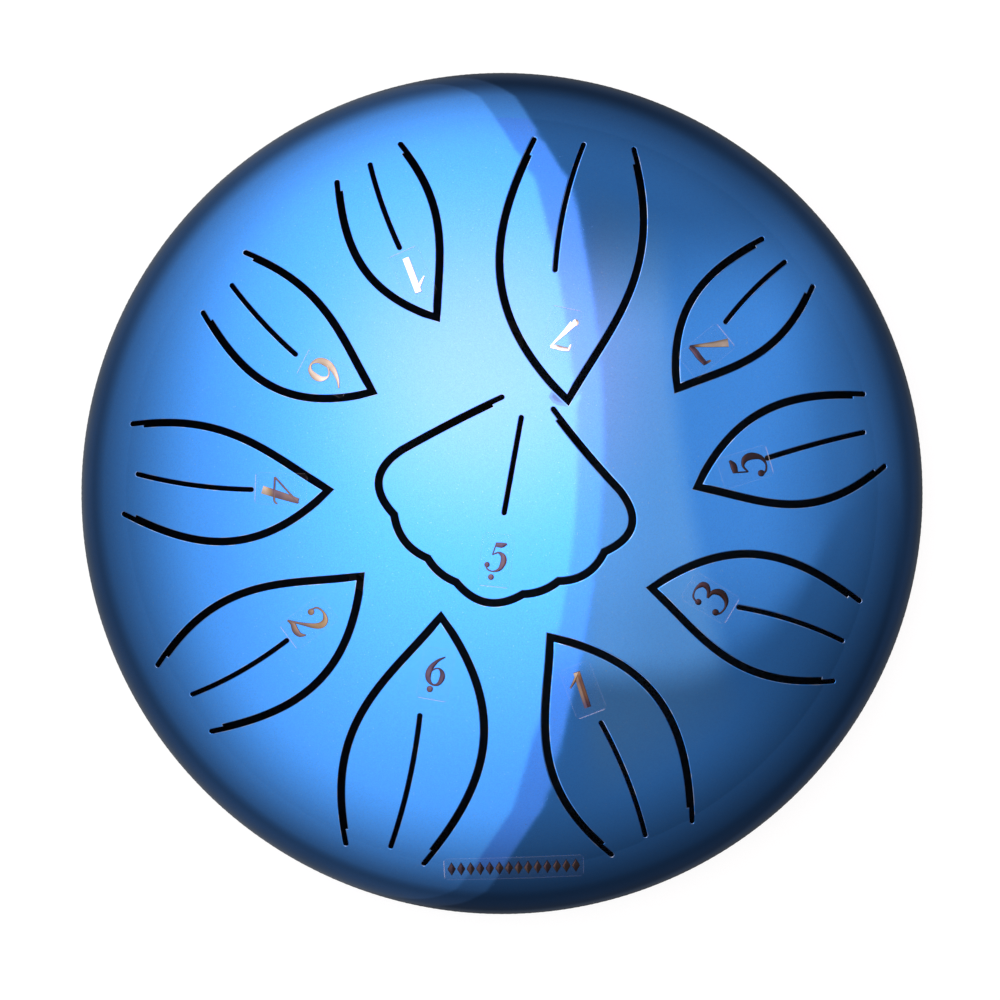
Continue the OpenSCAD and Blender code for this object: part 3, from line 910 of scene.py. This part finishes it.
def foot(i, material):
    """A foot is rings from its top edge down the cone, over the sole, up the recess and out over the seat."""
    bearing = math.radians(foot_bearings[i])
    turn = np.linspace(0, 2 * math.pi, foot_points, endpoint=False)
    out = np.array([math.cos(bearing), math.sin(bearing), 0])
    side = np.array([-math.sin(bearing), math.cos(bearing), 0])
    up = np.array([0, 0, 1])
    axis = math.sin(foot_tilt) * out - math.cos(foot_tilt) * up
    across = math.cos(foot_tilt) * out + math.sin(foot_tilt) * up

    def ground(radius, height):
        """How far down the axis the cone's wall meets a level at a height over the ground."""
        return (low_centre_z + radius * np.cos(turn) * math.sin(foot_tilt) - height) / math.cos(
            foot_tilt) - crown_r

    def seat(radius):
        return math.sqrt(crown_r**2 - radius**2) - crown_r + 0 * turn

    def ring(radius, depth):
        around = np.cos(turn)[:, None] * across + np.sin(turn)[:, None] * side
        return low_centre_z * up + (crown_r + depth)[:, None] * axis + radius * around

    top = seat(foot_top_r)
    low = ground(foot_sole_r, foot_edge_r)
    rows = []
    for t in np.linspace(0, 1, foot_rings):
        rows.append(ring(foot_top_r + (foot_sole_r - foot_top_r) * t, top + (low - top) * t))
    for a in np.radians([20, 40, 60, 80, 90]):
        radius = foot_sole_r - foot_edge_r * (1 - math.cos(a))
        rows.append(ring(radius, ground(radius, foot_edge_r * (1 - math.sin(a)))))
    rows.append(ring(foot_recess_r + recess_lip, ground(foot_recess_r + recess_lip, 0)))
    rows.append(ring(foot_recess_r, ground(foot_recess_r, recess_lip)))
    rows.append(ring(foot_recess_r, foot_floor_t + 0 * turn))
    rows.append(ring(foot_bore_r, foot_floor_t + 0 * turn))
    rows += [ring(r, seat(r)) for r in np.linspace(foot_bore_r, foot_top_r, top_rings)]
    points = np.concatenate(rows)
    faces = []
    for row in range(len(rows) - 1):
        start = row * foot_points
        for k in range(foot_points):
            after = (k + 1) % foot_points
            faces.append([start + k, start + after, start + foot_points + after, start + foot_points + k])
    mesh = bpy.data.meshes.new(f"foot_{i + 1}")
    mesh.from_pydata([tuple(p) for p in points], [], faces)
    closed(mesh)
    mesh.materials.append(material)
    return piece_of(f"rubber_foot_{i + 1}", mesh, [f"foot_{i + 1}"])


# %% [markdown]
# ## Materials
# Nothing here is an image: each finish is worked out from the place on the piece, so it stays sharp at any
# distance. A finish that is alike all over, such as zinc, is a few plain settings. The paint, the film and
# the foil change over their pieces, so their colours come through nodes.

# %% Helpers for materials
def new_material(name):
    """A material, its tree and its one shader, already joined to the output."""
    material = bpy.data.materials.new(name)
    material.use_nodes = True
    tree = material.node_tree
    tree.nodes.clear()
    output = tree.nodes.new("ShaderNodeOutputMaterial")
    shader = tree.nodes.new("ShaderNodeBsdfPrincipled")
    tree.links.new(shader.outputs[0], output.inputs["Surface"])
    return material, tree, shader


def colour_ramp(tree, value, stops):
    """A colour that goes through several stops as a number rises from 0 to 1."""
    ramp = tree.nodes.new("ShaderNodeValToRGB")
    elements = ramp.color_ramp.elements
    while len(elements) < len(stops):
        elements.new(0.5)
    for element, (place, colour) in zip(elements, stops):
        element.position = place
        element.color = (*colour, 1)
    tree.links.new(value.socket, ramp.inputs[0])
    return ramp.outputs[0]


def mixed(tree, factor, first, second):
    """One colour laid over another by a mask."""
    mix = node_of(tree, "ShaderNodeMix", {"data_type": "RGBA"})
    tree.links.new(factor.socket, mix.inputs["Factor"])
    for value, socket in ((first, mix.inputs[6]), (second, mix.inputs[7])):
        if isinstance(value, bpy.types.NodeSocket):
            tree.links.new(value, socket)
        else:
            socket.default_value = (*value, 1)
    return mix.outputs[2]


def vector_math(tree, operation, first, second=None, scale=None):
    """The result of a vector operation on a socket and a socket or plain values."""
    node = node_of(tree, "ShaderNodeVectorMath", {"operation": operation})
    tree.links.new(first, node.inputs[0])
    if isinstance(second, bpy.types.NodeSocket):
        tree.links.new(second, node.inputs[1])
    elif second is not None:
        node.inputs[1].default_value = second
    if isinstance(scale, Field):
        tree.links.new(scale.socket, node.inputs["Scale"])
    elif scale is not None:
        node.inputs["Scale"].default_value = scale
    return node.outputs["Vector"]


# %% [markdown]
# ### Pearl flakes
# Pearl paint holds tiny flakes that lie almost flat. Most tilt a little, and one in a few tilts enough to
# flash. A shared group turns the surface's normal for each flake, and says how bright the flake is.

# %% The flakes' group
def make_flake_group():
    """The group that gives each flake its lie, its brightness and now and then a sparkle."""
    inputs = [("Flake Size", "Float", 0.3 * MM), ("Lie", "Float", 0.002), ("Flash", "Float", 0.03),
              ("Flash Share", "Float", 0.004), ("Peel Size", "Float", 4 * MM), ("Peel", "Float", 0.0015)]
    tree, given, result = new_tree("pearl_flakes", "ShaderNodeTree", inputs,
                                   [("Normal", "Vector"), ("Brightness", "Float"), ("Sparkle", "Float")])
    value = {name: Field(tree, given.outputs[name]) for name, _, _ in inputs}
    place = tree.nodes.new("ShaderNodeTexCoord").outputs["Object"]
    cells = node_of(tree, "ShaderNodeTexVoronoi", Vector=place, Scale=1.0 / value["Flake Size"])
    chance = node_of(tree, "ShaderNodeTexWhiteNoise", {"noise_dimensions": "3D"})
    tree.links.new(cells.outputs["Position"], chance.inputs["Vector"])
    flash = value["Flash Share"].above(Field(tree, chance.outputs["Value"]))
    tilt = value["Lie"] + flash * value["Flash"]
    spread = vector_math(tree, "SUBTRACT", cells.outputs["Color"], (0.5, 0.5, 0.5))
    turned = vector_math(tree, "SCALE", spread, scale=tilt)
    peel = node_of(tree, "ShaderNodeTexNoise", Vector=place, Scale=1.0 / value["Peel Size"], Detail=1.0)
    wave = vector_math(tree, "SUBTRACT", peel.outputs["Color"], (0.5, 0.5, 0.5))
    waved = vector_math(tree, "SCALE", wave, scale=value["Peel"])
    normal = tree.nodes.new("ShaderNodeNewGeometry").outputs["Normal"]
    moved = vector_math(tree, "ADD", vector_math(tree, "ADD", normal, turned), waved)
    tree.links.new(vector_math(tree, "NORMALIZE", moved), result.inputs["Normal"])
    bright = Field(tree, chance.outputs["Value"]) * 0.12 + 0.94
    tree.links.new(bright.socket, result.inputs["Brightness"])
    tree.links.new(flash.socket, result.inputs["Sparkle"])
    return tree


flake_group = make_flake_group()

# %% [markdown]
# ### The paint
# The spray is pearl blue. A paler blue on the crown, off its middle where the light falls, is a painted
# highlight, and the navy at the rim is painted shade, both with a cloudy edge. Paint is thin on the lips of the
# cuts, where a paler edge shows through that is also a painted highlight, and the insides of the bowls only
# have a dull primer, painted near black as shade.

# %% Paint
# The paler blue on the crown is a painted highlight.
pale_blue_painted_highlight = (0.14, 0.325, 1.0)
pearl_blue = (0.026, 0.305, 1.0)
# The navy at the rim is painted shade.
rim_navy_painted_shade = (0.016, 0.07, 0.2)
# The paler blue of the flashing flakes is a painted glint.
flash_blue_painted_glint = (0.6, 0.8, 1.0)
# A paler edge for the lips of the cuts: steel through thin paint, and also a painted highlight.
bare_edge_and_highlight = (0.52, 0.56, 0.7)
# A dull dark primer inside, made near black as painted shade.
primer_and_painted_shade = (0.012, 0.016, 0.032)
mirror_tint = (0.5, 0.75, 1.0)
# Where the painted highlight on the crown is centred.
painted_highlight_place = (-5 * MM, 38 * MM)


def make_paint(name):
    """Sprayed pearl blue with a paler painted highlight on the crown, a navy rim of painted shade and a dull
    primer inside, darkened as painted shade, under a clear coat.
    """
    material, tree, shader = new_material(name)
    place = tree.nodes.new("ShaderNodeTexCoord").outputs["Object"]
    x, y, z = parts_of(tree, place)
    cloud = node_of(tree, "ShaderNodeTexNoise", Vector=place, Scale=45.0, Detail=4.0)
    drift = (Field(tree, cloud.outputs[0]) - 0.5) * 0.03
    # The navy that comes in at the rim is painted shade, for the dark that the rim's steep bend mirrors.
    painted_rim_shade = ((x * x + y * y).root() / rim_r + drift).ramp(0.95, 1.01)
    x = x - painted_highlight_place[0]
    y = y - painted_highlight_place[1]
    # The paler blue round an off-centre place on the crown is a painted highlight, fading out to the pearl
    # blue.
    body = ((x * x + y * y).root() / rim_r + drift).ramp(0.04, 0.5)
    spray = mixed(tree, painted_rim_shade, mixed(tree, body, pale_blue_painted_highlight, pearl_blue), rim_navy_painted_shade)
    flakes = node_of(tree, "ShaderNodeGroup", {"node_tree": flake_group})
    tree.links.new(flakes.outputs["Normal"], shader.inputs["Normal"])
    pearl = vector_math(tree, "SCALE", spray, scale=Field(tree, flakes.outputs["Brightness"]))
    # Flashing flakes tilt, and are also painted paler as a painted glint.
    pearl = mixed(tree, Field(tree, flakes.outputs["Sparkle"]) * 0.12, pearl, flash_blue_painted_glint)
    depth = Field(tree, node_of(tree, "ShaderNodeAttribute", {"attribute_name": "depth"}).outputs["Fac"])
    wear = node_of(tree, "ShaderNodeTexNoise", Vector=place, Scale=350.0, Detail=3.0)
    on_lip = depth.ramp(0.001, 0.02) * (1.0 - depth.ramp(0.22, 0.4))
    # Where the paint is thin on the lips a paler edge shows, partly thin paint and partly a painted highlight
    # along the cuts.
    thin = on_lip * Field(tree, wear.outputs[0]).ramp(0.4, 0.7)
    # The insides of the bowls take the primer, painted near black as the shade inside the drum.
    inside = depth.ramp(0.3, 0.8)
    worn_and_highlit = mixed(tree, thin, pearl, bare_edge_and_highlight)
    tree.links.new(mixed(tree, inside, worn_and_highlit, primer_and_painted_shade), shader.inputs["Base Color"])
    tree.links.new((1.0 - inside).socket, shader.inputs["Metallic"])
    tree.links.new((0.055 + painted_rim_shade * 0.2 + inside * 0.5).socket, shader.inputs["Roughness"])
    tree.links.new(((1.0 - inside) * (0.9 - painted_rim_shade * 0.3)).socket, shader.inputs["Coat Weight"])
    shader.inputs["Specular Tint"].default_value = (*mirror_tint, 1)
    shader.inputs["Coat Roughness"].default_value = 0.03
    shader.inputs["Coat IOR"].default_value = 1.6
    return material


paint = make_paint("pearl_paint")
bead_paint = make_paint("bead_paint")
print("paint:", len(paint.node_tree.nodes), "nodes")

# %% [markdown]
# ### Film and foil
# The film is nearly clear. Its cut edges carry a fine pale line of painted highlight, brightest at the foot,
# where it lifts a little. The foil is a rose gold mirror, and how dark or pale it looks by what each sticker
# faces is painted into its colour as a painted reflection. The numerals' painted tones say which, and a soft
# cloud keeps a stroke from looking printed in one flat ink.

# %% Film
film_middle = (0.42, 0.3, 0.28)
# The pale colour of the film's edges is a painted highlight.
film_edge_highlight = (0.95, 0.88, 0.92)


def make_film(name, length, width):
    """Clear film with a painted highlight along its edges, whose distance comes from the film's own UV map."""
    material, tree, shader = new_material(name)
    u, v, _ = parts_of(tree, node_of(tree, "ShaderNodeUVMap", {"uv_map": "film"}).outputs[0])
    ends = (0.5 - u.math("ABSOLUTE", u - 0.5)) * (length / MM)
    sides = (0.5 - v.math("ABSOLUTE", v - 0.5)) * (width / MM)
    # A painted highlight along the edges, stronger at the foot.
    line = 1.0 - ends.least(sides).ramp(0.06, 0.26)
    foot_highlight = 1.0 - (u * (length / MM)).ramp(0.1, 0.42)
    alpha = 0.006 + line * 0.03 + foot_highlight * 0.13
    tree.links.new(alpha.socket, shader.inputs["Alpha"])
    colour = mixed(tree, line.most(foot_highlight), film_middle, film_edge_highlight)
    tree.links.new(colour, shader.inputs["Base Color"])
    shader.inputs["Roughness"].default_value = 0.06
    return material


film_look = make_film("clear_film", sticker_l, sticker_w)
rim_film_look = make_film("clear_rim_film", rim_film_l, rim_film_w)
print("film:", len(film_look.node_tree.nodes), "nodes")

# %% Foil
# The foil's colours from dark to pale, which paint its reflection.
foil_reflection_stops = [
    (0.0, (0.03, 0.019, 0.018)), (0.15, (0.10, 0.066, 0.11)), (0.38, (0.27, 0.17, 0.10)),
    (0.65, (0.52, 0.40, 0.34)), (1.0, (0.97, 0.90, 0.88))]


def make_foil():
    """Foil from dark brown to white by the painted reflection noted on each numeral."""
    material, tree, shader = new_material("rose_foil")
    place = tree.nodes.new("ShaderNodeTexCoord").outputs["Object"]
    painted_reflection = Field(tree, node_of(tree, "ShaderNodeAttribute", {"attribute_name": "painted_reflection"}).outputs["Fac"])
    cloud = node_of(tree, "ShaderNodeTexNoise", Vector=place, Scale=160.0, Detail=2.0)
    # The painted reflection, with a soft cloud through it.
    shown = painted_reflection + (Field(tree, cloud.outputs[0]) - 0.5) * 0.6 * painted_reflection * (1.0 - painted_reflection) * 4.0
    tree.links.new(colour_ramp(tree, shown, foil_reflection_stops), shader.inputs["Base Color"])
    shader.inputs["Metallic"].default_value = 1.0
    shader.inputs["Roughness"].default_value = 0.16
    return material


foil_look = make_foil()
print("foil:", len(foil_reflection_stops), "stops")

# %% [markdown]
# ### Rubber and zinc
# The feet are matt black rubber. The screws and the washers in the feet are bright zinc. Inside the drum the
# zinc is painted dull and dark as shade, so that nothing glints through the cuts.

# %% Rubber and zinc
def make_plain(name, colour, metallic, roughness):
    """A finish that is alike all over."""
    material, tree, shader = new_material(name)
    shader.inputs["Base Color"].default_value = (*colour, 1)
    shader.inputs["Metallic"].default_value = metallic
    shader.inputs["Roughness"].default_value = roughness
    print(f"{name}: roughness {roughness}")
    return material


rubber = make_plain("black_rubber", (0.02, 0.02, 0.021), 0.0, 0.55)
zinc = make_plain("zinc", (0.7, 0.71, 0.73), 1.0, 0.3)
# Dark zinc for the parts inside the drum, as painted shade.
dull_zinc = make_plain("dull_zinc", (0.10, 0.10, 0.11), 1.0, 0.65)

# %% [markdown]
# ## Put the drum together
# Every piece is made in its own place. The screws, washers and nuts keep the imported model's own meshes, which
# are as fine as such small parts need, and only get their finish.

# %% Bowls and weld
upper_bowl(paint)
lower_bowl(paint)
weld_bead(bead_paint)

# %% Stickers, film and foil
for i, name in enumerate(sticker_names):
    film("film_" + name, sticker_shares[i], sticker_tops[i], sticker_l, sticker_w, film_look,
         "sticker_" + name)
    numeral(i, foil_look)
rim_film_turn = rim_film_place[1] + 90
film("film_rim", rim_film_place, rim_film_turn, rim_film_l, rim_film_w, rim_film_look, "rim_film")
foil_row(rim_film_place, rim_film_turn, foil_look)

# %% Feet and their screws
for i in range(3):
    foot(i, rubber)
looks = {
    "foot_screw_": zinc, "foot_cup_washer_": zinc, "foot_inner_washer_": dull_zinc, "foot_nut_": dull_zinc}
for kind, look in looks.items():
    for i in range(3):
        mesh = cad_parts[kind + str(i + 1)].data
        mesh.materials.clear()
        mesh.materials.append(look)

# %% [markdown]
# ## Light, floor and camera
# The paint is a mirror, so most of what the eye sees in it is the room. A lamp would only leave a spot. Here
# the whole studio is one formula of direction instead: x runs to the right, y away from the player and z up,
# each from -1 to 1. A wide soft box hangs overhead, with a bent edge on the right in two steps. A paler panel
# stands on the right, the walls are dim, and what lies below the horizon is darker the steeper the way down.

# %% The studio's light
soft_box_light = 2.33
panel_light = 0.72
wall_light = 0.33
ground_light = 0.07
step_blur = 0.007


def studio_light(tree, x, y, z):
    """How bright the studio is in the direction x, y, z, and where the band between the steps lies."""
    lean = x.math("ABSOLUTE", x) ** 3.0 * -1.4 - (y - 0.2) * (y - 0.2) * 0.7
    soft_box = lean.math("EXPONENT", lean) * soft_box_light
    past_bend = (x - 0.45).most(0.0)
    panel = (y - past_bend * past_bend * 1.9).ramp(-0.6, -0.46) * (1.0 - y.ramp(0.45, 0.8))
    shaded = panel_light - x.ramp(0.28, 0.5) * 0.12 - (x + y * 0.15).ramp(0.52, 0.6) * 0.22
    shaded = shaded - x.ramp(0.72, 0.95) * 0.3 - (1.0 - y.ramp(-0.5, -0.1)) * 0.2
    wall = wall_light - x.ramp(0.3, 1.0) * (1.0 - y.ramp(-0.6, 0.2)) * 0.16
    wall = wall - (1.0 - y.ramp(-1.0, -0.65)) * 0.1
    edge_1 = x - x * x * 0.80 - z * 0.169 + y * y * 0.07 - y * 0.032 - 0.025
    edge_2 = x - x * x * 0.66 - z * 0.169 + y * y * 0.045 - y * 0.035 - 0.086
    step_1 = edge_1.ramp(-step_blur, step_blur)
    step_2 = edge_2.ramp(-step_blur, step_blur)
    beyond = (step_1 + step_2) * 0.5
    above_ground = (z + y * 0.1).ramp(-0.6, 0.42) * (1.0 - ground_light) + ground_light
    light = (soft_box * (1.0 - beyond) + (panel * shaded + wall) * beyond) * above_ground
    return light, step_1 - step_2


# %% [markdown]
# ### The floor
# The floor is white for the eye, with a soft shadow that deepens under the drum, partly real and partly painted
# into its glow and colour, and it is clear from below.
# In the paint it shows as the studio's light at that low angle, so that the horizon leaves no ring. Light
# Path tells the two apart. The angle is worked out from the shoulder of the bowl that mirrors the floor.

# %% Floor
floor_r = 3.0
# Where the floor's painted shadow starts and ends, and the least that its mirrored glow keeps.
painted_shadow_in = 50 * MM
painted_shadow_out = rim_r * 1.15
mirrored_painted_shadow = 0.1
floor_mesh = bpy.data.meshes.new("floor")
corners = [(floor_r, floor_r, 0), (-floor_r, floor_r, 0), (-floor_r, -floor_r, 0), (floor_r, -floor_r, 0)]
floor_mesh.from_pydata(corners, [], [[0, 1, 2, 3]])
floor = bpy.data.objects.new("floor", floor_mesh)
bpy.context.scene.collection.objects.link(floor)


def make_floor_look():
    """White to the eye with a painted shadow under the drum, the studio's light in the paint, and clear from
    below.
    """
    material, tree, shader = new_material("floor")
    output = tree.nodes["Material Output"]
    shader.inputs["Roughness"].default_value = 0.9
    shader.inputs["Specular IOR Level"].default_value = 0.0
    shader.inputs["Emission Color"].default_value = (1, 1, 1, 1)
    rays = tree.nodes.new("ShaderNodeLightPath").outputs
    plain = Field(tree, rays["Is Camera Ray"]).most(Field(tree, rays["Is Transmission Ray"]))
    gloss = Field(tree, rays["Is Glossy Ray"])
    x, y, z = parts_of(tree, tree.nodes.new("ShaderNodeTexCoord").outputs["Object"])
    far = (x * x + y * y).root().most(1 * MM)
    # The floor's glow fades under the drum as a painted shadow.
    outside_painted_shadow = far.ramp(painted_shadow_in, painted_shadow_out)
    mirrored_outside_painted_shadow = outside_painted_shadow * (1.0 - mirrored_painted_shadow) + mirrored_painted_shadow
    past_rim = (far - rim_r * 0.9).most(0.0)
    shoulder_height = seam_z + rim_r * 0.22
    reach = (past_rim * past_rim + shoulder_height**2).root()
    level = past_rim / reach / far
    mirrored, _ = studio_light(tree, x * level, y * level, -shoulder_height / reach)
    strength = outside_painted_shadow * plain * 0.8 + mirrored_outside_painted_shadow * gloss * mirrored
    tree.links.new(strength.socket, shader.inputs["Emission Strength"])
    # The floor's colour darkens under the drum as a painted shadow.
    painted_shadow_colour_mask = outside_painted_shadow * (1.0 - gloss)
    tree.links.new(mixed(tree, painted_shadow_colour_mask, (0.02, 0.02, 0.02), (0.26, 0.26, 0.26)), shader.inputs["Base Color"])
    clear = tree.nodes.new("ShaderNodeBsdfTransparent")
    back = tree.nodes.new("ShaderNodeNewGeometry").outputs["Backfacing"]
    mix = tree.nodes.new("ShaderNodeMixShader")
    tree.links.new(back, mix.inputs[0])
    tree.links.new(shader.outputs[0], mix.inputs[1])
    tree.links.new(clear.outputs[0], mix.inputs[2])
    tree.links.new(mix.outputs[0], output.inputs["Surface"])
    return material


floor_mesh.materials.append(make_floor_look())
print("floor:", len(floor_mesh.materials[0].node_tree.nodes), "nodes")

# %% [markdown]
# ### The world
# The world carries the studio's light. The panel is a little warm and the band between the two steps a little
# violet, as daylight and lamplight mix. To the eye itself the world is plain white.

# %% World
panel_tint = (1.42, 1.0, 0.82)
band_tint = (1.12, 0.93, 1.1)
white = (1.0, 1.0, 1.0)
world = bpy.data.worlds.new("studio")
bpy.context.scene.world = world
world.use_nodes = True
tree = world.node_tree
tree.nodes.clear()
output = tree.nodes.new("ShaderNodeOutputWorld")
background = tree.nodes.new("ShaderNodeBackground")
tree.links.new(background.outputs[0], output.inputs[0])
x, y, z = parts_of(tree, tree.nodes.new("ShaderNodeTexCoord").outputs["Generated"])
light, band = studio_light(tree, x, y, z)
warm_panel = x.ramp(0.2, 0.3) * (1.0 - (x + y * 0.15).ramp(0.52, 0.6)) * z.ramp(0.4, 0.7)
tint = mixed(tree, warm_panel, white, panel_tint)
tree.links.new(mixed(tree, band, tint, band_tint), background.inputs["Color"])
rays = tree.nodes.new("ShaderNodeLightPath").outputs
open_view = Field(tree, rays["Is Camera Ray"]).most(Field(tree, rays["Is Transmission Ray"]))
light = light * (1.0 - open_view) + open_view
tree.links.new(light.socket, background.inputs["Strength"])
print("world:", len(tree.nodes), "nodes")

# %% [markdown]
# ### The camera
# The camera looks straight down from a metre over the seam, through a long lens. From nearer, the crown
# would hide more of the bowl's own flank. The small shift sets the drum a little off the picture's middle.

# %% Camera
camera_height = 1.0
camera_data = bpy.data.cameras.new("camera")
camera_data.lens = 118.9
camera_data.sensor_width = 36
camera_data.shift_x = -0.002
camera_data.shift_y = -0.0065
camera = bpy.data.objects.new("camera", camera_data)
camera.location = (0, 0, seam_z + camera_height)
bpy.context.scene.collection.objects.link(camera)
bpy.context.scene.camera = camera
bpy.context.scene.view_settings.view_transform = "Standard"
print(f"camera at {camera.location.z:.3f} m with a lens of {camera_data.lens:.1f} mm")
